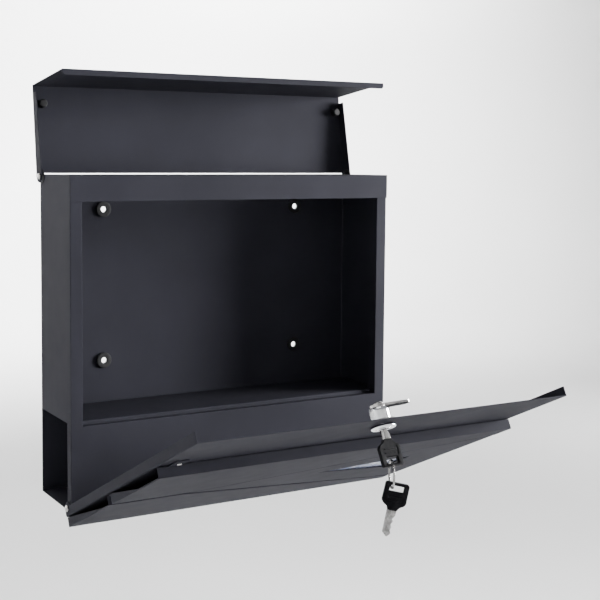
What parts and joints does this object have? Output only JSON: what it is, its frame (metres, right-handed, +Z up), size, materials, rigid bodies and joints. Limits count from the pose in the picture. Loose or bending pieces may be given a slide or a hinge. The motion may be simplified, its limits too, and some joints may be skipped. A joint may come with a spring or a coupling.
{
  "type": "wall mounted mailbox",
  "caption": "Sheet steel wall mailbox with a top-hinged lid, a drop-down front door with a cam lock and keys, and an open newspaper slot below.",
  "frame": {"origin": "middle of the four wall fixing holes, on the back panel's rear face", "axes": "+Z up, +Y into the wall, the front faces -Y, +X to the right seen from the front"},
  "size_m": [0.3698, 0.3668, 0.4314],
  "materials": {
    "anthracite_paint": "satin fine-texture powder coat on steel sheet",
    "bright_steel": "plain bright steel",
    "chrome": "polished chrome plate",
    "black_rubber": "matt black moulded rubber",
    "black_plastic": "fine-textured black moulding",
    "tinted_acrylic": "glossy blue-grey acrylic sheet"
  },
  "bodies": {
    "body": {"body_shell": "anthracite_paint", "back_panel": "anthracite_paint", "top_cover": "anthracite_paint", "compartment_floor": "anthracite_paint", "newspaper_tray": "anthracite_paint", "wall_grommet_left_upper": "black_rubber", "wall_grommet_left_lower": "black_rubber", "wall_grommet_right_upper": "black_rubber", "wall_grommet_right_lower": "black_rubber", "lid_rivet_left": "bright_steel", "lid_rivet_right": "bright_steel", "lid_washer_left": "black_rubber", "lid_washer_right": "black_rubber", "door_rivet_left": "bright_steel", "door_rivet_right": "bright_steel", "door_washer_left": "black_rubber", "door_washer_right": "black_rubber"},
    "lid": {"lid": "anthracite_paint", "lid_bumper_left": "black_rubber", "lid_bumper_right": "black_rubber"},
    "door": {"door_panel": "anthracite_paint", "overlay_top": "anthracite_paint", "overlay_right": "anthracite_paint", "overlay_lower": "anthracite_paint", "window_pane": "tinted_acrylic", "overlay_rivet_top": "bright_steel", "overlay_rivet_lower": "bright_steel", "lock_body": "chrome", "lock_nut": "bright_steel"},
    "lock_core": {"lock_plug": "chrome", "lock_cam": "bright_steel", "cam_screw": "bright_steel", "key_head": "black_plastic", "key_blade": "bright_steel"},
    "ring": {"key_ring": "bright_steel"},
    "spare_key": {"spare_key_head": "black_plastic", "spare_key_blade": "bright_steel"}
  },
  "joints": [
    {"name": "lid_hinge", "type": "hinge", "parent": "body", "child": "lid", "pos_m": [0, -0.006, 0.1113], "axis": [1, 0, 0], "range_deg": [0, 96.8]},
    {"name": "door_hinge", "type": "hinge", "parent": "body", "child": "door", "pos_m": [0, -0.0795, -0.2015], "axis": [1, 0, 0], "range_deg": [-64.2, 0]},
    {"name": "lock_turn", "type": "hinge", "parent": "door", "child": "lock_core", "pos_m": [0, -0.32484, -0.0829], "axis": [0, -0.4352, -0.9003], "range_deg": [-12, 78]},
    {"name": "ring_swing", "type": "hinge", "parent": "lock_core", "child": "ring", "pos_m": [0, -0.34072, -0.11576], "axis": [0.8988, -0.4384, 0], "range_deg": [-45, 2]},
    {"name": "spare_key_swing", "type": "hinge", "parent": "ring", "child": "spare_key", "pos_m": [0, -0.34072, -0.13816], "axis": [0.4384, 0.8988, 0], "range_deg": [-30, 30]}
  ]
}
